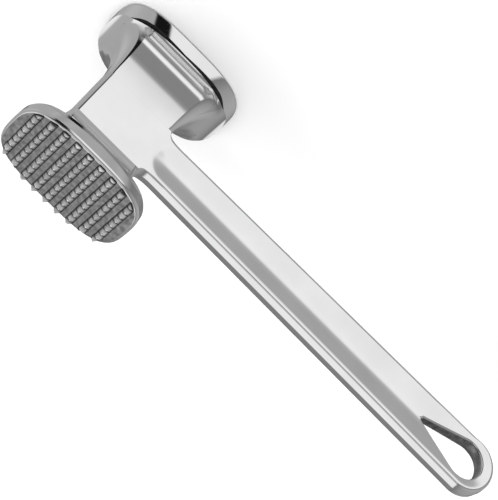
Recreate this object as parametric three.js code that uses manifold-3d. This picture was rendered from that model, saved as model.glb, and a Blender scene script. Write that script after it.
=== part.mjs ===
// Two-faced meat mallet: a flat cast handle with a striker clamped to each side of its neck.
// Millimetres, +Z up. The mallet stands on its flat striker, whose face is the plane Z = 0 with
// its centre at the origin. The striking axis is Z, the handle points to -X, the front is -Y.

import * as THREE from 'three';
import { mergeVertices } from 'three/addons/utils/BufferGeometryUtils.js';
import Module from 'manifold-3d';

const wasm = await Module();
wasm.setup();

// ---- driving dimensions ----------------------------------------------------------------------

const seamGap = 0.3;

const neck = { length: 35.4, width: 26.1, thickness: 7.6, cornerRadius: 2.4 };
const flatEnd = { length: 63.4, width: 42, flareHeight: 18.95, wallHeight: 6.9, edge: 1 };
const toothedEnd = { length: 63, width: 41, flareHeight: 17.9, wallHeight: 6.5, edge: 1.2 };
const ovalExponent = 3.3;
const wallDraft = THREE.MathUtils.degToRad(8);
const flareStart = THREE.MathUtils.degToRad(8);

const heightOf = (end) => end.flareHeight + end.wallHeight + end.edge;
const axisHeight = neck.width / 2 + heightOf(flatEnd);

const teeth = { rows: 9, perRow: 11, rowPitch: 6.23, pitch: 3.86, base: 3.9, tip: 0.5, height: 2.3, margin: 0.5 };
const toothSink = 0.4;

const handle = {
  end: 210.3,
  endRoundLength: 11.8,
  startWidth: 21.6,
  endWidth: 25.8,
  edgeRadius: 1.5,
  blendLength: 8,
};
const dish = { inset: 0.9, depth: 1.6, start: 28 };
const hangHole = { tip: 171.2, tipRadius: 0.8, roundCentre: 195.2, roundRadius: 8.8 };

const stud = { diameter: 4, length: 50, chamfer: 0.5 };
const dowel = { diameter: 3, length: 42, chamfer: 0.4, offset: 11 };
const boreClearance = 0.6;
const boreEndClearance = 1;

// ---- solids ----------------------------------------------------------------------------------

function toSolid(geometry) {
  const bare = geometry.clone();
  bare.deleteAttribute('normal');
  bare.deleteAttribute('uv');
  const merged = mergeVertices(bare, 1e-4);
  const vertProperties = new Float32Array(merged.attributes.position.array);
  const triVerts = new Uint32Array(merged.index.array);
  return new wasm.Manifold(new wasm.Mesh({ numProp: 3, vertProperties, triVerts }));
}

function toGeometry(solid) {
  const mesh = solid.getMesh();
  const geometry = new THREE.BufferGeometry();
  geometry.setAttribute('position', new THREE.BufferAttribute(mesh.vertProperties, 3));
  geometry.setIndex(new THREE.BufferAttribute(mesh.triVerts, 1));
  geometry.computeVertexNormals();
  return geometry;
}

function placed(geometry, right, up, out, origin = new THREE.Vector3()) {
  const matrix = new THREE.Matrix4().makeBasis(right, up, out).setPosition(origin);
  return geometry.applyMatrix4(matrix);
}

const X = new THREE.Vector3(1, 0, 0);
const Y = new THREE.Vector3(0, 1, 0);
const Z = new THREE.Vector3(0, 0, 1);
const minusX = X.clone().negate();
const minusY = Y.clone().negate();
const minusZ = Z.clone().negate();

function extruded(shape, depth, curveSegments = 16) {
  return new THREE.ExtrudeGeometry(shape, { depth, bevelEnabled: false, curveSegments });
}

// ---- outlines --------------------------------------------------------------------------------

function ovalShape({ length, width }, inset) {
  const points = [];
  const steps = 72;
  for (let i = 0; i < steps; i += 1) {
    const angle = (2 * Math.PI * i) / steps;
    const c = Math.cos(angle);
    const s = Math.sin(angle);
    const x = Math.sign(c) * Math.abs(c) ** (2 / ovalExponent) * (length / 2 - inset);
    const y = Math.sign(s) * Math.abs(s) ** (2 / ovalExponent) * (width / 2 - inset);
    points.push(new THREE.Vector2(x, y));
  }
  return new THREE.Shape(points);
}

function roundedRectangle(length, width, radius) {
  const x = length / 2;
  const y = width / 2;
  const shape = new THREE.Shape();
  shape.moveTo(-x + radius, -y);
  shape.lineTo(x - radius, -y);
  shape.absarc(x - radius, -y + radius, radius, -Math.PI / 2, 0, false);
  shape.absarc(x - radius, y - radius, radius, 0, Math.PI / 2, false);
  shape.absarc(-x + radius, y - radius, radius, Math.PI / 2, Math.PI, false);
  shape.absarc(-x + radius, -y + radius, radius, Math.PI, 1.5 * Math.PI, false);
  return shape;
}

// Section of a striker seen along one side: concave quarter ellipses from the neck out to the rim
// wall. "Up" is measured from the seam towards the striking face.
function flareShape(neckHalf, rimHalf, end) {
  const reach = (rimHalf - neckHalf) / Math.cos(flareStart);
  const rise = end.flareHeight / (1 - Math.sin(flareStart));
  const centreHeight = end.flareHeight - rise;
  const wide = rimHalf + end.wallHeight;
  const top = heightOf(end);
  const shape = new THREE.Shape();
  shape.moveTo(neckHalf, 0);
  shape.absellipse(rimHalf, centreHeight, reach, rise, Math.PI - flareStart, Math.PI / 2, true);
  shape.lineTo(wide, end.flareHeight);
  shape.lineTo(wide, top);
  shape.lineTo(-wide, top);
  shape.lineTo(-wide, end.flareHeight);
  shape.lineTo(-rimHalf, end.flareHeight);
  shape.absellipse(-rimHalf, centreHeight, reach, rise, Math.PI / 2, flareStart, true);
  return shape;
}

// ---- strikers (built seam down at Z = 0, face up) ----------------------------------------------

// Straight-sided band of an oval column; its outline goes from one inset to another.
function ovalBand(end, bottomInset, topInset, bottom, top) {
  const geometry = extruded(ovalShape(end, bottomInset), top - bottom);
  const scaleX = (end.length / 2 - topInset) / (end.length / 2 - bottomInset);
  const scaleY = (end.width / 2 - topInset) / (end.width / 2 - bottomInset);
  tapered(geometry, top - bottom, scaleX, scaleY);
  geometry.translate(0, 0, bottom);
  return toSolid(geometry);
}

function flaredBody(end) {
  const widest = heightOf(end) - end.edge;
  const slope = Math.tan(wallDraft);
  const column = ovalBand(end, slope * widest, 0, 0, widest);
  const chamfer = ovalBand(end, 0, end.edge, widest, heightOf(end));
  const rimInset = slope * end.wallHeight;
  const frontProfile = flareShape(neck.thickness / 2, end.width / 2 - rimInset, end);
  const sideProfile = flareShape(neck.length / 2, end.length / 2 - rimInset, end);
  const start = end.length;
  const alongX = placed(extruded(frontProfile, 2 * start), Y, Z, X, new THREE.Vector3(-start, 0, 0));
  const alongY = placed(extruded(sideProfile, 2 * start), X, Z, minusY, new THREE.Vector3(0, start, 0));
  return column.add(chamfer).intersect(toSolid(alongX)).intersect(toSolid(alongY));
}

function tapered(geometry, height, scaleX, scaleY) {
  const position = geometry.attributes.position;
  for (let i = 0; i < position.count; i += 1) {
    const share = position.getZ(i) / height;
    position.setX(i, position.getX(i) * THREE.MathUtils.lerp(1, scaleX, share));
    position.setY(i, position.getY(i) * THREE.MathUtils.lerp(1, scaleY, share));
  }
  return geometry;
}

function toothField(faceHeight) {
  const toRadius = Math.SQRT1_2;
  let field = null;
  for (let row = 0; row < teeth.rows; row += 1) {
    for (let column = 0; column < teeth.perRow; column += 1) {
      const height = teeth.height + toothSink;
      const baseGrowth = (teeth.base - teeth.tip) * (toothSink / teeth.height);
      const foot = (teeth.base + baseGrowth) * toRadius;
      const tooth = new THREE.CylinderGeometry(teeth.tip * toRadius, foot, height, 4);
      tooth.rotateY(Math.PI / 4);
      tooth.rotateX(Math.PI / 2);
      tooth.translate(
        (row - (teeth.rows - 1) / 2) * teeth.rowPitch,
        (column - (teeth.perRow - 1) / 2) * teeth.pitch,
        faceHeight - toothSink + height / 2,
      );
      field = field ? field.add(toSolid(tooth)) : toSolid(tooth);
    }
  }
  const outline = extruded(ovalShape(toothedEnd, toothedEnd.edge + teeth.margin), teeth.height + toothSink);
  outline.translate(0, 0, faceHeight - toothSink);
  return field.intersect(toSolid(outline));
}

function bored(solid, depthOfStud, depthOfDowel) {
  const bores = [
    { x: 0, diameter: stud.diameter, depth: depthOfStud },
    { x: dowel.offset, diameter: dowel.diameter, depth: depthOfDowel },
    { x: -dowel.offset, diameter: dowel.diameter, depth: depthOfDowel },
  ];
  return bores.reduce((rest, bore) => {
    const radius = (bore.diameter + boreClearance) / 2;
    const drill = new THREE.CylinderGeometry(radius, radius, bore.depth * 2, 20);
    drill.rotateX(Math.PI / 2);
    drill.translate(bore.x, 0, 0);
    return rest.subtract(toSolid(drill));
  }, solid);
}

const studBoreDepth = (stud.length - neck.width) / 2 + boreEndClearance;
const dowelBoreDepth = (dowel.length - neck.width) / 2 + boreEndClearance;

function trimmedAtSeam(solid) {
  const cutter = new THREE.BoxGeometry(2 * flatEnd.length, 2 * flatEnd.width, 2 * seamGap);
  return solid.subtract(toSolid(cutter));
}

function flatStriker() {
  return trimmedAtSeam(bored(flaredBody(flatEnd), studBoreDepth, dowelBoreDepth));
}

function toothedStriker() {
  const body = flaredBody(toothedEnd).add(toothField(heightOf(toothedEnd)));
  return trimmedAtSeam(bored(body, studBoreDepth, dowelBoreDepth));
}

// ---- handle (outline in the plane of distance from the striking axis and height) ---------------

function halfWidthAt(distance) {
  const start = neck.length / 2 + handle.blendLength;
  const share = (distance - start) / (handle.end - handle.endRoundLength - start);
  return THREE.MathUtils.lerp(handle.startWidth, handle.endWidth, THREE.MathUtils.clamp(share, 0, 1)) / 2;
}

function handleShape() {
  const hidden = neck.length / 2 - 4;
  const neckEnd = neck.length / 2;
  const blendEnd = neckEnd + handle.blendLength;
  const neckHalf = neck.width / 2;
  const step = neckHalf - handle.startWidth / 2;
  const roundStart = handle.end - handle.endRoundLength;
  const endHalf = handle.endWidth / 2;
  const shape = new THREE.Shape();
  shape.moveTo(hidden, -neckHalf);
  shape.lineTo(neckEnd, -neckHalf);
  shape.absellipse(blendEnd, -neckHalf, handle.blendLength, step, Math.PI, Math.PI / 2, true);
  shape.absellipse(roundStart, 0, handle.endRoundLength, endHalf, -Math.PI / 2, Math.PI / 2, false);
  shape.lineTo(blendEnd, handle.startWidth / 2);
  shape.absellipse(blendEnd, neckHalf, handle.blendLength, step, 1.5 * Math.PI, Math.PI, true);
  shape.lineTo(hidden, neckHalf);
  return shape;
}

function hangHoleShape() {
  const { tip, tipRadius, roundCentre, roundRadius } = hangHole;
  const reach = roundCentre - tip - tipRadius;
  const lean = Math.asin((roundRadius - tipRadius) / reach);
  const swing = Math.PI / 2 + lean;
  const shape = new THREE.Shape();
  shape.absarc(roundCentre, 0, roundRadius, -swing, swing, false);
  shape.absarc(tip + tipRadius, 0, tipRadius, swing, 2 * Math.PI - swing, false);
  return shape;
}

// Shallow V-shaped dish with conical ends, as cut into the front of the handle.
function dishCutter() {
  const lift = 0.5;
  const growth = (dish.depth + lift) / dish.depth;
  const end = handle.end - handle.endRoundLength;
  const length = end - dish.start;
  const frontPlane = -neck.thickness / 2;
  const radiusAt = (distance) => (halfWidthAt(distance) - dish.inset) * growth;
  const wedge = new THREE.Shape();
  wedge.moveTo(-radiusAt(dish.start), lift);
  wedge.lineTo(0, -dish.depth);
  wedge.lineTo(radiusAt(dish.start), lift);
  const trough = tapered(extruded(wedge, length), length, radiusAt(end) / radiusAt(dish.start), 1);
  placed(trough, minusZ, minusY, minusX, new THREE.Vector3(-dish.start, frontPlane, 0));
  return [dish.start, end].reduce((cutter, distance) => {
    const cone = new THREE.ConeGeometry(radiusAt(distance), dish.depth + lift, 40);
    cone.translate(-distance, frontPlane + (dish.depth - lift) / 2, 0);
    return cutter.add(toSolid(cone));
  }, toSolid(trough));
}

function handleCasting() {
  const edge = handle.edgeRadius;
  const grip = new THREE.ExtrudeGeometry(handleShape(), {
    depth: neck.thickness - 2 * edge,
    bevelThickness: edge,
    bevelSize: edge,
    bevelOffset: -edge,
    bevelSegments: 3,
    curveSegments: 16,
  });
  placed(grip, minusX, Z, Y, new THREE.Vector3(0, edge - neck.thickness / 2, 0));
  const block = extruded(roundedRectangle(neck.length, neck.thickness, neck.cornerRadius), neck.width, 4);
  block.translate(0, 0, -neck.width / 2);
  const hole = extruded(hangHoleShape(), 2 * neck.thickness, 20);
  placed(hole, minusX, Z, Y, new THREE.Vector3(0, -neck.thickness, 0));
  const frontDish = dishCutter();
  const backDish = frontDish.rotate([180, 0, 0]);
  const body = toSolid(grip).add(toSolid(block));
  return bored(body.subtract(frontDish).subtract(backDish).subtract(toSolid(hole)), neck.width, neck.width);
}

// ---- hidden fasteners --------------------------------------------------------------------------

function pin({ diameter, length, chamfer }) {
  const radius = diameter / 2;
  const profile = [
    new THREE.Vector2(0, -length / 2),
    new THREE.Vector2(radius - chamfer, -length / 2),
    new THREE.Vector2(radius, -length / 2 + chamfer),
    new THREE.Vector2(radius, length / 2 - chamfer),
    new THREE.Vector2(radius - chamfer, length / 2),
    new THREE.Vector2(0, length / 2),
  ];
  return toSolid(new THREE.LatheGeometry(profile, 20).rotateX(Math.PI / 2));
}

// ---- assembly ----------------------------------------------------------------------------------

const castAluminium = { color: 0xd9dadb, roughness: 0.14, metalness: 1 };
const plainSteel = { color: 0x9a9c9e, roughness: 0.35, metalness: 1 };

const group = new THREE.Group();

function addPart(name, solid, look, position, flipped = false) {
  const mesh = new THREE.Mesh(toGeometry(solid), new THREE.MeshStandardMaterial(look));
  mesh.name = name;
  mesh.position.set(...position);
  mesh.rotation.x = flipped ? Math.PI : 0;
  group.add(mesh);
}

addPart('handle', handleCasting(), castAluminium, [0, 0, axisHeight]);
addPart('toothed_striker', toothedStriker(), castAluminium, [0, 0, axisHeight + neck.width / 2]);
addPart('flat_striker', flatStriker(), castAluminium, [0, 0, axisHeight - neck.width / 2], true);
addPart('tie_stud', pin(stud), plainSteel, [0, 0, axisHeight]);
addPart('dowel_pin_tip', pin(dowel), plainSteel, [dowel.offset, 0, axisHeight]);
addPart('dowel_pin_grip', pin(dowel), plainSteel, [-dowel.offset, 0, axisHeight]);

export default group;
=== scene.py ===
"""Looks for the two-faced meat mallet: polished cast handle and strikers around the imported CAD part.

The mallet stands on its flat striker. Z is the striking axis, the handle points to -X and the
front is -Y. Lengths in this file are millimetres until the meshes are made, which are in metres.
"""
import math

import bmesh
import bpy
import numpy as np
from mathutils import Matrix, Vector


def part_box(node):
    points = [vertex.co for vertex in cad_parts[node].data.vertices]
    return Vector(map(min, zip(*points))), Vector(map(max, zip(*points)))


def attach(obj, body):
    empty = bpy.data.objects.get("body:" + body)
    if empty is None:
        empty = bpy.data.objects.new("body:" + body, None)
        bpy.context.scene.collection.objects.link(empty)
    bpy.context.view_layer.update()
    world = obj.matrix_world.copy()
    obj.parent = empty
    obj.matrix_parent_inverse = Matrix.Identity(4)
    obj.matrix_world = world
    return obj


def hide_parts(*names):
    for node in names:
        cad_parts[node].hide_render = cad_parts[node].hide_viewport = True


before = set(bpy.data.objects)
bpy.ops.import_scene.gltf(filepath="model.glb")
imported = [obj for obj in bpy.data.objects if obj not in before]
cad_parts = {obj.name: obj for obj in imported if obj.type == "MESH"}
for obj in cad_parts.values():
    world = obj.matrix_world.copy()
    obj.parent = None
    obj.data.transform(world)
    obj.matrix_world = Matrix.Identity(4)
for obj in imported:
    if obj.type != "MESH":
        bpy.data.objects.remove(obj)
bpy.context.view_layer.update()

MM = 0.001

# ---- driving dimensions ------------------------------------------------------------------------

handle_low, handle_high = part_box("handle")
toothed_low, toothed_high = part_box("toothed_striker")
flat_low, flat_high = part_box("flat_striker")

NECK_HALF_LENGTH = handle_high.x / MM
NECK_HALF_THICKNESS = handle_high.y / MM
NECK_HALF_WIDTH = (handle_high.z - handle_low.z) / 2 / MM
AXIS_HEIGHT = (handle_high.z + handle_low.z) / 2 / MM

# The parting ridge stands proud of the handle's sides and end, so the end is set in by as much.
SIDE_RIDGE = 0.28
HANDLE_END = -handle_low.x / MM - SIDE_RIDGE

# The rim is an oval that narrows and softens away from its widest level. Drafts and the fall of the
# exponent are per millimetre of depth.
WALL_DRAFT = math.tan(math.radians(8))
END_DRAFT = 0.04
OVAL_EXPONENT = 3.3
EXPONENT_FALL = 0.1
STRAIGHT_HALF = 15.5
FLARE_START = math.radians(8)
NECK_CORNER = 2.4
FLARE_LIP = 1.4

# Groove along the front and back arches, widest at the corners. Its depth is a share of its width.
# Reach and taper are how squarely a station must face the front, and how fast the groove fades in.
GROOVE_WIDTH = 0.95
GROOVE_CORNER_WIDTH = 1.9
GROOVE_REACH = 0.3
GROOVE_TAPER = 0.6
GROOVE_DEPTH = 0.5

TOOTH_HEIGHT = 2.3
TOOTH_ROWS = 9
TEETH_PER_ROW = 11
ROW_PITCH = 6.23
TOOTH_PITCH = 3.86
TOOTH_BASE = 3.84
TOOTH_TIP = 0.45
TOOTH_SINK = 0.5
TOOTH_MARGIN = (0.4, 0.2)

FLAT_END = {
    "half_length": flat_high.x / MM,
    "half_width": flat_high.y / MM,
    "height": AXIS_HEIGHT - NECK_HALF_WIDTH,
    "front_flare": 18.95,
    "end_flare": 20.6,
    "edge": 1.0,
}
TOOTHED_END = {
    "half_length": toothed_high.x / MM,
    "half_width": toothed_high.y / MM,
    "height": toothed_high.z / MM - TOOTH_HEIGHT - AXIS_HEIGHT - NECK_HALF_WIDTH,
    "front_flare": 17.9,
    "end_flare": 19.4,
    "edge": 1.2,
}

GRIP_START_HALF = 10.8
GRIP_END_HALF = 12.9
BLEND_LENGTH = 8.0
END_ROUND_LENGTH = 11.8
TOP_EDGE_RADIUS = 0.8
BOTTOM_EDGE_RADIUS = 2.0
END_EDGE_RADIUS = 1.3
DISH_LIP = 1.3
DISH_SLOPE = math.tan(math.radians(10))
DISH_START = 27.0
DISH_BOTTOM = 3.0
DISH_SOFTNESS = 0.4

HOLE_TIP = 171.6
HOLE_TIP_RADIUS = 0.7
HOLE_CENTRE = 195.3
HOLE_RADIUS = 8.5
HOLE_LIP = 1.0

# Rings down the hang hole's wall: distance outside the hole, and drop below the lip. The last ring
# lies at mid thickness.
HOLE_ROWS = ((HOLE_LIP, 0.0), (0.75, 0.1), (0.52, 0.35), (0.36, 0.8), (0.18, 1.8), (0.0, None))
POLISHED_HOLE_ROWS = 3

# Mesh steps round the hang hole's half outline and across a section's face.
TIP_STEPS = 9
FLANK_STEPS = 24
FAR_END_STEPS = 56
INNER_STEPS = 26

# ---- mesh helpers --------------------------------------------------------------------------------


def mesh_object(name, points, faces, smooth=True):
    """A mesh object from points in millimetres."""
    mesh = bpy.data.meshes.new(name)
    mesh.from_pydata((np.asarray(points) * MM).tolist(), [], faces)
    mesh.validate()
    obj = bpy.data.objects.new(name, mesh)
    bpy.context.scene.collection.objects.link(obj)
    mesh.polygons.foreach_set("use_smooth", [smooth] * len(mesh.polygons))
    return obj


def grid_faces(rows, columns, closed, start=0):
    """Quads of a grid whose points are stored row by row."""
    faces = []
    last = columns if closed else columns - 1
    for row in range(rows - 1):
        for column in range(last):
            a = start + row * columns + column
            b = start + row * columns + (column + 1) % columns
            faces.append((a, b, b + columns, a + columns))
    return faces


def bevel(obj, width, segments, angle):
    modifier = obj.modifiers.new("edge_rounding", "BEVEL")
    modifier.width = width * MM
    modifier.segments = segments
    modifier.limit_method = "ANGLE"
    modifier.angle_limit = math.radians(angle)
    modifier.harden_normals = True
    modifier.miter_outer = "MITER_SHARP"


# ---- strikers ------------------------------------------------------------------------------------


def superellipse(x, y, half_length, half_width, exponent):
    return np.abs(x / half_length) ** exponent + np.abs(y / half_width) ** exponent


def perimeter_stations(side_steps, corner_steps, end_steps):
    """Stations round a rounded rectangle, as centre factors and unit directions, anticlockwise."""
    quadrant = []
    for i in range(end_steps):
        quadrant.append((1.0, i / end_steps, 0.0))
    for i in range(corner_steps):
        quadrant.append((1.0, 1.0, math.pi / 2 * i / corner_steps))
    for i in range(side_steps):
        quadrant.append((1.0 - i / side_steps, 1.0, math.pi / 2))
    first = [(cx, cy, math.cos(a), math.sin(a)) for cx, cy, a in quadrant]
    mirrored = [(cx, cy, math.cos(a), math.sin(a)) for cx, cy, a in quadrant[1:]]
    top = [(0.0, 1.0, 0.0, 1.0)]
    second = [(-cx, cy, -ca, sa) for cx, cy, ca, sa in reversed(mirrored)]
    left = [(-1.0, 0.0, -1.0, 0.0)]
    upper = first + top + second + left
    lower = [(cx, -cy, ca, -sa) for cx, cy, ca, sa in reversed(upper[1:-1])]
    return np.array(upper + lower)


def flare_profile(height, neck_half, rim_half, flare_height):
    """Half size of the flare at a height: a concave quarter ellipse, then far outside the rim."""
    reach = (rim_half - neck_half) / math.cos(FLARE_START)
    rise = flare_height / (1 - math.sin(FLARE_START))
    sine = np.clip((height - flare_height + rise) / rise, 0, 1)
    inside = rim_half - reach * np.sqrt(1 - sine**2)
    return inside + np.maximum(height - flare_height, 0) * 4


def flare_rows(top, flare_height, steps):
    """Heights from the seam to the rim, even in the ellipse's own angle."""
    rise = flare_height / (1 - math.sin(FLARE_START))
    last = np.arcsin(np.clip((np.minimum(top, flare_height) - flare_height + rise) / rise, 0, 1))
    share = np.linspace(0, 1, steps)[:, None]
    angle = FLARE_START + (last[None, :] - FLARE_START) * share
    height = flare_height - rise + rise * np.sin(angle)
    return height * (top / np.maximum(height[-1], 1e-6))[None, :]


class Striker:
    """One striker, built seam down at height 0 with its striking face up."""

    def __init__(self, end):
        self.end = end
        self.widest = end["height"] - end["edge"]
        self.stations = perimeter_stations(70, 14, 34)

    def oval(self, height):
        """Half length, half width and exponent of the rim's outline at a height."""
        below = self.widest - height
        half_length = self.end["half_length"] - END_DRAFT * below
        half_width = self.end["half_width"] - WALL_DRAFT * below
        return half_length, half_width, OVAL_EXPONENT - EXPONENT_FALL * below

    def section(self, height):
        """Point of each station on the flare at a height (one height per station)."""
        end = self.end
        rim_x = self.oval(end["end_flare"])[0]
        rim_y = self.oval(end["front_flare"])[1]
        half_x = flare_profile(height, NECK_HALF_LENGTH, rim_x, end["end_flare"])
        half_y = flare_profile(height, NECK_HALF_THICKNESS, rim_y, end["front_flare"])
        radius = np.clip(half_x - STRAIGHT_HALF, NECK_CORNER, np.maximum(half_y - FLARE_LIP, NECK_CORNER))
        cx, cy, ca, sa = self.stations.T
        return cx * (half_x - radius) + ca * radius, cy * (half_y - radius) + sa * radius

    def rim_heights(self):
        """Height at which each station's flare leaves the oval wall."""
        low = np.zeros(len(self.stations))
        high = np.full(len(self.stations), self.widest)
        for _ in range(40):
            middle = (low + high) / 2
            x, y = self.section(middle)
            inside = superellipse(x, y, *self.oval(middle)) < 1
            low = np.where(inside, middle, low)
            high = np.where(inside, high, middle)
        return low

    def surface_rows(self):
        """Rows of points up the flare, over the groove and the rim wall, and round the face's edge."""
        end = self.end
        top = self.rim_heights()
        toward_front = np.arctan2(np.abs(self.stations[:, 3]), np.abs(self.stations[:, 2])) * 2 / math.pi
        front_rows = flare_rows(top, end["front_flare"], 44)
        end_rows = flare_rows(top, end["end_flare"], 44)
        heights = end_rows + (front_rows - end_rows) * toward_front[None, :]
        rows = []
        for height in heights:
            x, y = self.section(height)
            rows.append(np.stack([x, y, height], 1))
        x, y, _ = rows[-1].T
        rim = np.stack([x, y, top], 1)
        start_a, start_b, exponent = self.oval(top)
        power = exponent / OVAL_EXPONENT
        widest_x = np.sign(x) * np.abs(x / start_a) ** power * end["half_length"]
        widest_y = np.sign(y) * np.abs(y / start_b) ** power * end["half_width"]
        widest = np.stack([widest_x, widest_y, np.full(len(x), self.widest)], 1)
        self.groove_row = len(rows) - 1
        width = GROOVE_WIDTH + (GROOVE_CORNER_WIDTH - GROOVE_WIDTH) * np.abs(self.stations[:, 0])
        width = width * np.clip((np.abs(self.stations[:, 3]) - GROOVE_REACH) / GROOVE_TAPER, 0.02, 1)
        upper_edge = (width / np.maximum(self.widest - top, width))[:, None]
        groove = rim + (widest - rim) * upper_edge / 2
        groove[:, :2] *= (1 - GROOVE_DEPTH * width / np.hypot(x, y))[:, None]
        rows.append(groove)
        for share in np.linspace(0, 1, 12):
            rows.append(rim + (widest - rim) * (upper_edge + (1 - upper_edge) * share))
        outline = rows[-1]
        for angle in np.linspace(0, math.pi / 2, 5)[1:]:
            rows.append(self.inset(outline, end["edge"] * (1 - math.cos(angle)), math.sin(angle)))
        return rows

    def inset(self, outline, distance, rise):
        """The outline drawn in by a distance, at a share of the edge's height."""
        a, b = self.end["half_length"], self.end["half_width"]
        x = outline[:, 0] * (a - distance) / a
        y = outline[:, 1] * (b - distance) / b
        return np.stack([x, y, np.full(len(x), self.widest + self.end["edge"] * rise)], 1)

    def colour_faces(self, obj, first_face_row):
        """Slot 1 for the groove along the front and back arches, slot 2 for the face. On the flat striker
        slot 1 paints near-black shade in the groove; on the toothed one slot 2 paints shade between the
        teeth.
        """
        columns = len(self.stations)
        toward_front = np.abs(self.stations[:, 3]) > GROOVE_REACH
        polygons = obj.data.polygons
        for column in range(columns):
            if toward_front[column] and toward_front[(column + 1) % columns]:
                polygons[self.groove_row * columns + column].material_index = 1
                polygons[(self.groove_row + 1) * columns + column].material_index = 1
        for polygon in polygons[first_face_row * columns:len(polygons) - 1]:
            polygon.material_index = 2

    def build(self, name, face_rings):
        """The closed casting. Face rings are shares of the face's outline."""
        rows = self.surface_rows()
        first_face_row = len(rows) - 1
        face = rows[-1]
        for share in face_rings:
            ring = face.copy()
            ring[:, :2] *= share
            rows.append(ring)
        columns = len(self.stations)
        points = np.concatenate(rows + [np.array([[0.0, 0.0, self.end["height"]]])])
        faces = grid_faces(len(rows), columns, True)
        last_ring = (len(rows) - 1) * columns
        centre = len(points) - 1
        for column in range(columns):
            faces.append((last_ring + column, last_ring + (column + 1) % columns, centre))
        faces.append(tuple(reversed(range(columns))))
        obj = mesh_object(name, points, faces)
        self.colour_faces(obj, first_face_row)
        bevel(obj, 0.3, 3, 35)
        return obj


def stand_up(obj, height, flipped):
    """Moves a striker's own mesh to its place: teeth up, or flat face down."""
    turn = Matrix.Rotation(math.pi if flipped else 0.0, 4, "X")
    obj.data.transform(Matrix.Translation((0, 0, height * MM)) @ turn)


def tooth_outline(end, steps=120):
    """Oval that the teeth are trimmed to, a little inside the edge of the toothed face."""
    half_length = end["half_length"] - end["edge"] - TOOTH_MARGIN[0]
    half_width = end["half_width"] - end["edge"] - TOOTH_MARGIN[1]
    angle = np.linspace(0, 2 * math.pi, steps, endpoint=False)
    c, s = np.cos(angle), np.sin(angle)
    power = 2 / OVAL_EXPONENT
    x = np.sign(c) * np.abs(c) ** power * half_length
    y = np.sign(s) * np.abs(s) ** power * half_width
    return np.stack([x, y], 1)


def add_tooth(work, x, y, tip_half, foot_height, tip_height):
    """One blunt square pyramid."""
    growth = (TOOTH_BASE - TOOTH_TIP) / TOOTH_HEIGHT * TOOTH_SINK
    rings = []
    for half, z in (((TOOTH_BASE + growth) / 2, foot_height), (tip_half, tip_height)):
        corners = ((-1, -1), (1, -1), (1, 1), (-1, 1))
        rings.append([work.verts.new((x + a * half, y + b * half, z)) for a, b in corners])
    work.faces.new(rings[0][::-1])
    work.faces.new(rings[1])
    for i in range(4):
        j = (i + 1) % 4
        work.faces.new((rings[0][i], rings[0][j], rings[1][j], rings[1][i]))


def trim_tooth(work, outline, x, y):
    """Cuts a tooth along each side of the outline that crosses it, and closes the cut."""
    reach = TOOTH_BASE
    for start, stop in zip(outline, np.roll(outline, -1, 0)):
        along = stop - start
        normal = np.array([along[1], -along[0]]) / np.linalg.norm(along)
        distance = (np.array([x, y]) - start) @ normal
        if abs(distance) > reach or np.linalg.norm(start - np.array([x, y])) > 3 * reach:
            continue
        parts = list(work.verts) + list(work.edges) + list(work.faces)
        cut = bmesh.ops.bisect_plane(
            work, geom=parts, plane_co=(*start, 0), plane_no=(*normal, 0), clear_outer=True
        )
        edges = [item for item in cut["geom_cut"] if isinstance(item, bmesh.types.BMEdge)]
        if edges:
            bmesh.ops.holes_fill(work, edges=edges)


def trimmed_teeth(end):
    """Rows of pyramids across the toothed face, those at the edge cut to its oval."""
    rng = np.random.default_rng(7)
    outline = tooth_outline(end)
    points, faces = [], []
    for row in range(TOOTH_ROWS):
        for column in range(TEETH_PER_ROW):
            x = (row - (TOOTH_ROWS - 1) / 2) * ROW_PITCH + rng.uniform(-0.04, 0.04)
            y = (column - (TEETH_PER_ROW - 1) / 2) * TOOTH_PITCH
            tip_half = (TOOTH_TIP + rng.uniform(-0.06, 0.12)) / 2
            tip_height = end["height"] + TOOTH_HEIGHT - rng.uniform(0, 0.08)
            work = bmesh.new()
            add_tooth(work, x, y, tip_half, end["height"] - TOOTH_SINK, tip_height)
            trim_tooth(work, outline, x, y)
            work.verts.index_update()
            first = len(points)
            points.extend([tuple(vert.co) for vert in work.verts])
            faces.extend([tuple(first + vert.index for vert in face.verts) for face in work.faces])
            work.free()
    field = mesh_object("striking_teeth", points, faces, smooth=False)
    bevel(field, 0.1, 2, 25)
    return field


# ---- handle --------------------------------------------------------------------------------------


def teardrop(offset):
    """Half outline of the hang hole from its tip to its far end, grown outwards by offset."""
    first = HOLE_TIP + HOLE_TIP_RADIUS
    lean = math.asin((HOLE_RADIUS - HOLE_TIP_RADIUS) / (HOLE_CENTRE - first))
    points = []
    for angle in np.linspace(math.pi, math.pi / 2 + lean, TIP_STEPS):
        radius = HOLE_TIP_RADIUS + offset
        points.append((first + radius * math.cos(angle), radius * math.sin(angle)))
    start = points[-1]
    radius = HOLE_RADIUS + offset
    stop = (HOLE_CENTRE - radius * math.sin(lean), radius * math.cos(lean))
    for share in np.linspace(0, 1, FLANK_STEPS + 2)[1:-1]:
        points.append(tuple(np.array(start) * (1 - share) + np.array(stop) * share))
    for angle in np.linspace(math.pi / 2 + lean, 0, FAR_END_STEPS):
        points.append((HOLE_CENTRE + radius * math.cos(angle), radius * math.sin(angle)))
    return np.array(points)


def half_width(distance):
    """Half width of the handle at a distance from the striking axis."""
    blend_end = NECK_HALF_LENGTH + BLEND_LENGTH
    if distance <= NECK_HALF_LENGTH:
        return NECK_HALF_WIDTH
    if distance < blend_end:
        run = (blend_end - distance) / BLEND_LENGTH
        return NECK_HALF_WIDTH - (NECK_HALF_WIDTH - GRIP_START_HALF) * math.sqrt(1 - run * run)
    share = (distance - blend_end) / (HANDLE_END - END_ROUND_LENGTH - blend_end)
    return GRIP_START_HALF + (GRIP_END_HALF - GRIP_START_HALF) * min(share, 1.0)


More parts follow.
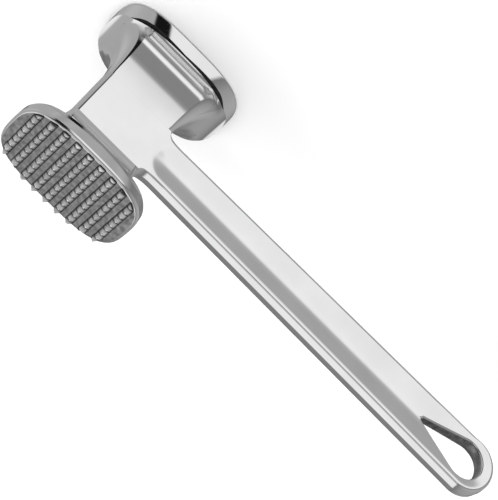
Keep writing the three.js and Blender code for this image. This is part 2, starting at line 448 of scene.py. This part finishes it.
def outline_stations(edge_radius):
    """Half outline from the neck's free end round to the handle's end, with section data.

    Each station holds the outer point, the point where its section ends inside, the edge radius
    and the half thickness."""
    stations = []
    for angle in np.linspace(0, math.pi / 2, 9):
        distance = -NECK_HALF_LENGTH + NECK_CORNER * (1 - math.cos(angle))
        thickness = NECK_HALF_THICKNESS - NECK_CORNER * (1 - math.sin(angle))
        stations.append((distance, NECK_HALF_WIDTH, distance, 0.0, 0.0, thickness))
    straight = list(np.linspace(-NECK_HALF_LENGTH + NECK_CORNER, NECK_HALF_LENGTH - 0.6, 26)[1:])
    for distance in straight:
        stations.append((distance, NECK_HALF_WIDTH, distance, 0.0, 0.0, NECK_HALF_THICKNESS))
    for angle in np.linspace(0, math.pi / 2, 16):
        distance = NECK_HALF_LENGTH + BLEND_LENGTH * (1 - math.cos(angle))
        radius = edge_radius * min(1.0, 0.25 + angle)
        stations.append((distance, half_width(distance), distance, 0.0, radius, NECK_HALF_THICKNESS))
    hole_front = teardrop(HOLE_LIP)
    tip = hole_front[0, 0]
    for distance in np.linspace(NECK_HALF_LENGTH + BLEND_LENGTH, tip, 150)[1:-1]:
        stations.append((distance, half_width(distance), distance, 0.0, edge_radius, NECK_HALF_THICKNESS))
    round_start = HANDLE_END - END_ROUND_LENGTH
    count = len(hole_front)
    turn = TIP_STEPS + FLANK_STEPS
    arc_steps = count - 1 - turn
    lean_steps = 8
    for index in range(count):
        radius = edge_radius + (END_EDGE_RADIUS - edge_radius) * index / (count - 1)
        if index <= turn + lean_steps:
            distance = tip + (round_start - tip) * index / (turn + lean_steps)
            outer = (distance, half_width(distance))
        else:
            angle = math.pi / 2 * (1 - (index - turn - lean_steps) / (arc_steps - lean_steps))
            outer = (round_start + END_ROUND_LENGTH * math.cos(angle), GRIP_END_HALF * math.sin(angle))
        inner = hole_front[index]
        stations.append((*outer, *inner, radius, NECK_HALF_THICKNESS))
    return np.array(stations), count


def dish_depth(distance, height):
    """Depth of the shallow V-shaped dish below the broad face."""
    centre_offset = np.sqrt(height**2 + DISH_BOTTOM**2)
    round_start = HANDLE_END - END_ROUND_LENGTH
    width = np.array([half_width(max(d, NECK_HALF_LENGTH + BLEND_LENGTH)) for d in distance])
    along = width - centre_offset
    start_radius = half_width(DISH_START)
    at_start = start_radius - np.hypot(np.minimum(distance - DISH_START, 0), centre_offset)
    beyond = np.maximum(distance - round_start, 0) / END_ROUND_LENGTH
    at_end = GRIP_END_HALF * (1 - np.hypot(beyond, centre_offset / GRIP_END_HALF))
    reach = np.where(distance < DISH_START, at_start, np.where(distance > round_start, at_end, along))
    reach = reach - DISH_LIP
    return DISH_SLOPE * DISH_SOFTNESS * np.logaddexp(0, reach / DISH_SOFTNESS)


def section_points(station):
    """Front half of a section: from the inner end over the face and round the outer edge."""
    outer_s, outer_t, inner_s, inner_t, radius, thickness = station
    outward = np.array([outer_s - inner_s, outer_t - inner_t])
    length = np.linalg.norm(outward)
    outward = outward / length
    flat_end = length - radius
    points = []
    shares = 1 - (1 - np.linspace(0, 1, INNER_STEPS)) ** 1.25
    for share in shares:
        place = np.array([inner_s, inner_t]) + outward * flat_end * share
        points.append((*place, 0.0))
    place_s = np.array([p[0] for p in points])
    place_t = np.array([p[1] for p in points])
    depth = dish_depth(place_s, place_t)
    front = [(s, t, thickness - d) for s, t, d in zip(place_s, place_t, depth)]
    start_depth = depth[-1]
    for angle in np.linspace(0, math.pi / 2, 8)[1:]:
        step = flat_end + max(radius, 0.02) * math.sin(angle)
        level = thickness - start_depth - (max(radius, 0.02) - start_depth) * (1 - math.cos(angle))
        front.append((*(np.array([inner_s, inner_t]) + outward * step), level))
    level = front[-1][2]
    ridge = SIDE_RIDGE if radius > 0 else 0.0
    for share in (0.45, 0.9, 1.0):
        step = flat_end + max(radius, 0.02) + ridge * share
        front.append((*(np.array([inner_s, inner_t]) + outward * step), level * (1 - share)))
    return front


def handle_mesh():
    points, faces, hole_faces = [], [], []

    def add_patch(side, face):
        """One quarter of the handle: side mirrors across the axis, face across mid thickness."""
        stations, hole_count = outline_stations(TOP_EDGE_RADIUS if side > 0 else BOTTOM_EDGE_RADIUS)
        sections = np.array([section_points(station) for station in stations])
        hole_start = len(stations) - hole_count
        count = sections.shape[1]
        start = len(points)
        for section in sections:
            for s, t, level in section:
                points.append((-s, -level * face, t * side + AXIS_HEIGHT))
        quads = grid_faces(len(sections), count, False, start)
        flip = side * face < 0
        faces.extend(quads if flip else [tuple(reversed(quad)) for quad in quads])
        wall_start = len(points)
        rings = [teardrop(offset) for offset, _ in HOLE_ROWS]
        for index in range(hole_count):
            lip_level = sections[hole_start + index][0][2]
            for ring, (_, drop) in zip(rings, HOLE_ROWS):
                level = 0.0 if drop is None else lip_level - drop
                s, t = ring[index]
                points.append((-s, -level * face, t * side + AXIS_HEIGHT))
        quads = grid_faces(hole_count, len(HOLE_ROWS), False, wall_start)
        # Wall faces below the polished lip rows take slot 1, whose material paints shade inside the hole.
        for index in range(len(quads)):
            if index % (len(HOLE_ROWS) - 1) >= POLISHED_HOLE_ROWS:
                hole_faces.append(len(faces) + index)
        faces.extend([tuple(reversed(quad)) for quad in quads] if flip else quads)
        end_cap = [start + i for i in range(count)]
        cap_centre = len(points)
        points.append((NECK_HALF_LENGTH, 0.0, AXIS_HEIGHT))
        for a, b in zip(end_cap[:-1], end_cap[1:]):
            faces.append((cap_centre, a, b) if flip else (cap_centre, b, a))

    for side in (1, -1):
        for face in (1, -1):
            add_patch(side, face)
    obj = mesh_object("handle_casting", points, faces)
    for index in hole_faces:
        obj.data.polygons[index].material_index = 1
    join_coincident(obj)
    return obj


def join_coincident(obj):
    """Welds points closer than a micrometre and makes the faces point outwards."""
    work = bmesh.new()
    work.from_mesh(obj.data)
    bmesh.ops.remove_doubles(work, verts=work.verts, dist=1e-6)
    bmesh.ops.dissolve_degenerate(work, edges=work.edges, dist=1e-7)
    bmesh.ops.recalc_face_normals(work, faces=work.faces)
    work.to_mesh(obj.data)
    work.free()
    obj.data.polygons.foreach_set("use_smooth", [True] * len(obj.data.polygons))


# ---- materials -----------------------------------------------------------------------------------


def new_material(name):
    material = bpy.data.materials.new(name)
    material.use_nodes = True
    shader = material.node_tree.nodes["Principled BSDF"]
    return material, material.node_tree, shader


def noise_node(tree, scale, detail, stretch=(1, 1, 1)):
    """Noise fixed to the object's own coordinates, stretched along chosen axes."""
    coordinates = tree.nodes.new("ShaderNodeTexCoord")
    mapping = tree.nodes.new("ShaderNodeMapping")
    mapping.inputs["Scale"].default_value = stretch
    noise = tree.nodes.new("ShaderNodeTexNoise")
    noise.inputs["Scale"].default_value = scale
    noise.inputs["Detail"].default_value = detail
    tree.links.new(coordinates.outputs["Object"], mapping.inputs["Vector"])
    tree.links.new(mapping.outputs["Vector"], noise.inputs["Vector"])
    return noise.outputs["Fac"]


def ramp(tree, value, stops):
    node = tree.nodes.new("ShaderNodeValToRGB")
    elements = node.color_ramp.elements
    while len(elements) < len(stops):
        elements.new(0.5)
    for element, (place, shade) in zip(elements, stops):
        element.position = place
        element.color = (*shade, 1) if isinstance(shade, tuple) else (shade, shade, shade, 1)
    tree.links.new(value, node.inputs["Fac"])
    return node.outputs["Color"]


def bump(tree, height, strength, distance, previous=None):
    node = tree.nodes.new("ShaderNodeBump")
    node.inputs["Strength"].default_value = strength
    node.inputs["Distance"].default_value = distance
    tree.links.new(height, node.inputs["Height"])
    if previous is not None:
        tree.links.new(previous, node.inputs["Normal"])
    return node.outputs["Normal"]


def polished_aluminium(name, base, rough_low, rough_high, scratch_axis):
    """Buffed cast aluminium: slightly wavy, with faint polishing scratches and a cloudy bloom."""
    material, tree, shader = new_material(name)
    shader.inputs["Metallic"].default_value = 1.0
    cloud = noise_node(tree, 55, 4)
    low = tuple(c * 0.94 for c in base)
    tree.links.new(ramp(tree, cloud, ((0.3, low), (0.7, base))), shader.inputs["Base Color"])
    smear = noise_node(tree, 140, 5)
    roughness = ramp(tree, smear, ((0.25, rough_low), (0.8, rough_high)))
    tree.links.new(roughness, shader.inputs["Roughness"])
    scratches = noise_node(tree, 900, 3, scratch_axis)
    waves = noise_node(tree, 70, 2)
    normal = bump(tree, waves, 0.05, 0.0006)
    normal = bump(tree, scratches, 0.03, 0.00005, normal)
    tree.links.new(normal, shader.inputs["Normal"])
    return material


def cast_metal(name, dark, light, metallic, rough_low, rough_high):
    """As-cast aluminium, not polished: duller and cloudy, with fine pits."""
    material, tree, shader = new_material(name)
    shader.inputs["Metallic"].default_value = metallic
    cloud = noise_node(tree, 420, 6)
    tree.links.new(ramp(tree, cloud, ((0.35, dark), (0.65, light))), shader.inputs["Base Color"])
    tree.links.new(ramp(tree, cloud, ((0.3, rough_high), (0.75, rough_low))), shader.inputs["Roughness"])
    pits = noise_node(tree, 1500, 4)
    tree.links.new(bump(tree, pits, 0.07, 0.0001), shader.inputs["Normal"])
    return material


def teeth_painted_root_shade(name, root_height, tip_height):
    """Cast teeth with painted shade: their colour is darkened down towards the roots, between the teeth.
    """
    material = cast_metal(name, 0.72, 0.98, 0.68, 0.14, 0.24)
    tree = material.node_tree
    shader = tree.nodes["Principled BSDF"]
    clouded = shader.inputs["Base Color"].links[0].from_socket
    coordinates = tree.nodes.new("ShaderNodeTexCoord")
    parts = tree.nodes.new("ShaderNodeSeparateXYZ")
    tree.links.new(coordinates.outputs["Object"], parts.inputs["Vector"])
    rise = tree.nodes.new("ShaderNodeMapRange")
    rise.inputs["From Min"].default_value = root_height
    rise.inputs["From Max"].default_value = tip_height
    tree.links.new(parts.outputs["Z"], rise.inputs["Value"])
    # Painted shade: near black at the roots, full colour from well up the teeth.
    root_shade = ramp(tree, rise.outputs["Result"], ((0.0, 0.03), (0.25, 0.14), (0.45, 0.75), (0.7, 1.0)))
    shaded_teeth = tree.nodes.new("ShaderNodeMix")
    shaded_teeth.data_type = "RGBA"
    shaded_teeth.blend_type = "MULTIPLY"
    shaded_teeth.inputs["Factor"].default_value = 1.0
    tree.links.new(clouded, shaded_teeth.inputs["A"])
    tree.links.new(root_shade, shaded_teeth.inputs["B"])
    tree.links.new(shaded_teeth.outputs["Result"], shader.inputs["Base Color"])
    return material


def turned_steel(name):
    """Plain turned steel for the hidden fasteners: fine rings round the pin and darker oil film."""
    material, tree, shader = new_material(name)
    shader.inputs["Metallic"].default_value = 1.0
    rings = noise_node(tree, 300, 4, (0.4, 0.4, 12))
    film = noise_node(tree, 200, 3)
    shades = ((0.3, (0.42, 0.425, 0.43)), (0.7, (0.58, 0.585, 0.59)))
    tree.links.new(ramp(tree, film, shades), shader.inputs["Base Color"])
    tree.links.new(ramp(tree, rings, ((0.3, 0.28), (0.8, 0.46))), shader.inputs["Roughness"])
    tree.links.new(bump(tree, rings, 0.2, 0.00006), shader.inputs["Normal"])
    return material


# ---- pieces --------------------------------------------------------------------------------------

ALUMINIUM = (0.91, 0.912, 0.915)
handle_look = polished_aluminium("polished_handle", ALUMINIUM, 0.05, 0.11, (0.2, 1, 1))
flat_look = polished_aluminium("polished_flat_striker", ALUMINIUM, 0.04, 0.1, (1, 1, 0.3))
toothed_look = polished_aluminium("polished_toothed_striker", ALUMINIUM, 0.08, 0.16, (1, 1, 0.3))
# Teeth: painted shade darkens them towards their roots.
teeth_look = teeth_painted_root_shade("teeth_with_painted_root_shade", toothed_high.z - TOOTH_HEIGHT * MM, toothed_high.z)
# Hang hole wall: unpolished, and painted dark as shade inside the hole.
hole_wall_shade_look = cast_metal("cast_hole_wall_painted_shade", 0.16, 0.34, 1.0, 0.2, 0.4)
# Toothed face under the teeth: unpolished, and painted dark as shade between the teeth.
valley_shade_look = cast_metal("cast_valleys_painted_shade", 0.26, 0.46, 1.0, 0.26, 0.42)
# Painted shade: the groove along the arches is coloured near black, as the shade in that crease.
groove_shade_look = cast_metal("groove_painted_shade", 0.012, 0.035, 0.6, 0.35, 0.55)
steel_look = turned_steel("turned_steel")

handle = handle_mesh()
handle.data.materials.append(handle_look)
handle.data.materials.append(hole_wall_shade_look)
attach(handle, "root")
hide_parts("handle")

flat_striker = Striker(FLAT_END).build("flat_striker_casting", (0.9, 0.7, 0.4))
stand_up(flat_striker, AXIS_HEIGHT - NECK_HALF_WIDTH, True)
for look in (flat_look, groove_shade_look, flat_look):
    flat_striker.data.materials.append(look)
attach(flat_striker, "root")
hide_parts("flat_striker")

toothed_striker = Striker(TOOTHED_END).build("toothed_striker_casting", (0.98, 0.7, 0.4))
stand_up(toothed_striker, AXIS_HEIGHT + NECK_HALF_WIDTH, False)
for look in (toothed_look, toothed_look, valley_shade_look):
    toothed_striker.data.materials.append(look)
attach(toothed_striker, "root")
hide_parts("toothed_striker")

teeth = trimmed_teeth(TOOTHED_END)
stand_up(teeth, AXIS_HEIGHT + NECK_HALF_WIDTH, False)
teeth.data.materials.append(teeth_look)
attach(teeth, "root")
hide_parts("toothed_striker")

for node in ("tie_stud", "dowel_pin_tip", "dowel_pin_grip"):
    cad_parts[node].data.materials.clear()
    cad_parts[node].data.materials.append(steel_look)

# ---- floor, light and camera ---------------------------------------------------------------------


FLOOR_HALF = 3.0
LIGHT_SIZE = 1.2
LIGHT_DISTANCE = 0.9


def plain_floor():
    """Pale floor under the mallet, which the polished metal does not mirror."""
    corners = [(x * FLOOR_HALF, y * FLOOR_HALF, 0) for x, y in ((-1, -1), (1, -1), (1, 1), (-1, 1))]
    mesh = bpy.data.meshes.new("floor")
    mesh.from_pydata(corners, [], [(0, 1, 2, 3)])
    floor = bpy.data.objects.new("floor", mesh)
    bpy.context.scene.collection.objects.link(floor)
    material, _, shader = new_material("floor_paper")
    shader.inputs["Base Color"].default_value = (0.93, 0.93, 0.93, 1)
    shader.inputs["Roughness"].default_value = 0.9
    floor.data.materials.append(material)
    floor.visible_glossy = False


def soft_light(name, power, azimuth, elevation):
    """Area light aimed at the mallet from an azimuth (0 is the front, 90 the tip side).

    Polished metal does not mirror it: the highlights come from the surroundings."""
    data = bpy.data.lights.new(name, "AREA")
    data.shape = "RECTANGLE"
    data.size = LIGHT_SIZE
    data.size_y = LIGHT_SIZE
    data.energy = power
    light = bpy.data.objects.new(name, data)
    a, e = math.radians(azimuth), math.radians(elevation)
    out = Vector((math.sin(a) * math.cos(e), -math.cos(a) * math.cos(e), math.sin(e)))
    target = Vector((0, 0, AXIS_HEIGHT * MM))
    light.location = target + out * LIGHT_DISTANCE
    light.rotation_euler = (-out).to_track_quat("-Z", "Y").to_euler()
    light.visible_glossy = False
    bpy.context.scene.collection.objects.link(light)


# Brightness of the surroundings by angle in the plane across the handle: 0 is level in front, 90 is
# straight up, 180 is level behind and -90 is straight down. Set for the main view.
SURROUNDINGS = (
    (-180, 0.2), (-130, 0.2), (-95, 0.25), (-72, 0.34), (-64, 0.46), (-58, 0.38), (-52, 0.46),
    (-46, 0.88), (-38, 0.93), (-15, 0.86), (12, 0.74), (19, 0.32), (26, 0.25), (57, 0.25),
    (61, 0.32), (64, 0.95), (72, 0.95), (77, 0.27), (83, 0.27), (116, 0.76), (123, 0.9),
    (138, 0.9), (147, 0.24), (162, 0.16), (180, 0.2),
)

# Brightness to the grip end (-1) and the tip end (+1), and how much of it shows there.
SIDES = (
    (-1.0, 0.42), (-0.6, 0.32), (-0.4, 0.22), (-0.3, 0.18), (0.3, 0.5), (0.36, 0.42), (0.6, 0.4),
    (0.8, 0.42), (1.0, 0.5),
)
SIDE_SHARE = (
    (-1.0, 1.0), (-0.34, 1.0), (-0.27, 0.0), (0.24, 0.0), (0.34, 1.0), (1.0, 1.0),
)

# A black patch towards the tip end, mirrored as the dark spot on the rim: its place across and up.
FLAG_ACROSS = ((-1.0, 0.0), (0.1, 0.0), (0.13, 1.0), (0.4, 1.0), (0.45, 0.0), (1.0, 0.0))
FLAG_UP = ((-180, 0.0), (-50, 0.0), (-42, 1.0), (60, 1.0), (100, 0.0), (180, 0.0))


def world_ramp(tree, value, low, high, stops):
    """Colour ramp over a number between low and high."""
    mapped = tree.nodes.new("ShaderNodeMapRange")
    mapped.inputs["From Min"].default_value = low
    mapped.inputs["From Max"].default_value = high
    tree.links.new(value, mapped.inputs["Value"])
    scaled = tuple(((place - low) / (high - low), shade) for place, shade in stops)
    return ramp(tree, mapped.outputs["Result"], scaled)


def blended(tree, first, second, share):
    mix = tree.nodes.new("ShaderNodeMix")
    mix.data_type = "RGBA"
    tree.links.new(share, mix.inputs["Factor"])
    tree.links.new(first, mix.inputs["A"])
    tree.links.new(second, mix.inputs["B"])
    return mix.outputs["Result"]


def studio_surroundings():
    """Surroundings given by direction, which make the bright and dark bands on the metal."""
    world = bpy.data.worlds.new("studio")
    bpy.context.scene.world = world
    world.use_nodes = True
    tree = world.node_tree
    background = tree.nodes["Background"]
    direction = tree.nodes.new("ShaderNodeTexCoord")
    parts = tree.nodes.new("ShaderNodeSeparateXYZ")
    tree.links.new(direction.outputs["Generated"], parts.inputs["Vector"])
    forward = tree.nodes.new("ShaderNodeMath")
    forward.operation = "MULTIPLY"
    forward.inputs[1].default_value = -1
    tree.links.new(parts.outputs["Y"], forward.inputs[0])
    angle = tree.nodes.new("ShaderNodeMath")
    angle.operation = "ARCTAN2"
    tree.links.new(parts.outputs["Z"], angle.inputs[0])
    tree.links.new(forward.outputs["Value"], angle.inputs[1])
    degrees = tree.nodes.new("ShaderNodeMath")
    degrees.operation = "DEGREES"
    tree.links.new(angle.outputs["Value"], degrees.inputs[0])
    across = world_ramp(tree, degrees.outputs["Value"], -180, 180, SURROUNDINGS)
    sides = world_ramp(tree, parts.outputs["X"], -1, 1, SIDES)
    side_share = world_ramp(tree, parts.outputs["X"], -1, 1, SIDE_SHARE)
    flag_across = world_ramp(tree, parts.outputs["X"], -1, 1, FLAG_ACROSS)
    flag_up = world_ramp(tree, degrees.outputs["Value"], -180, 180, FLAG_UP)
    flag = tree.nodes.new("ShaderNodeMath")
    flag.operation = "MULTIPLY"
    tree.links.new(flag_across, flag.inputs[0])
    tree.links.new(flag_up, flag.inputs[1])
    room = blended(tree, across, sides, side_share)
    black = tree.nodes.new("ShaderNodeRGB")
    black.outputs["Color"].default_value = (0.008, 0.008, 0.008, 1)
    shown = blended(tree, room, black.outputs["Color"], flag.outputs["Value"])
    tree.links.new(shown, background.inputs["Color"])
    background.inputs["Strength"].default_value = 1.0


VIEW_AZIMUTH = math.radians(8.06)
VIEW_ELEVATION = math.radians(40.77)
VIEW_ROLL = math.radians(44.79)
VIEW_DISTANCE = 0.954
AIM_ALONG_HANDLE = 0.07237
AIM_ACROSS = 0.00047
LENS_PER_METRE = 180.2


def camera():
    """Camera at the photograph's angle, with the handle running down to the right."""
    data = bpy.data.cameras.new("camera")
    data.lens = LENS_PER_METRE * VIEW_DISTANCE
    data.sensor_width = 36
    data.clip_start = 0.05
    data.clip_end = 20
    cam = bpy.data.objects.new("camera", data)
    c, s = math.cos(VIEW_ELEVATION), math.sin(VIEW_ELEVATION)
    back = Vector((math.sin(VIEW_AZIMUTH) * c, -math.cos(VIEW_AZIMUTH) * c, s))
    handle_way = Vector((-1, 0, 0))
    along = (handle_way - handle_way.dot(back) * back).normalized()
    across = back.cross(along)
    right = along * math.cos(VIEW_ROLL) + across * math.sin(VIEW_ROLL)
    up = across * math.cos(VIEW_ROLL) - along * math.sin(VIEW_ROLL)
    head = Vector((0, 0, AXIS_HEIGHT * MM))
    place = head + back * VIEW_DISTANCE + along * AIM_ALONG_HANDLE + across * AIM_ACROSS
    turn = Matrix((right, up, back)).transposed().to_4x4()
    cam.matrix_world = Matrix.Translation(place) @ turn
    bpy.context.scene.collection.objects.link(cam)
    bpy.context.scene.camera = cam


plain_floor()
studio_surroundings()
soft_light("front_key", 7.2, -25, 60)
soft_light("back_fill", 7.0, 165, 60)
camera()
bpy.context.scene.view_settings.view_transform = "Standard"
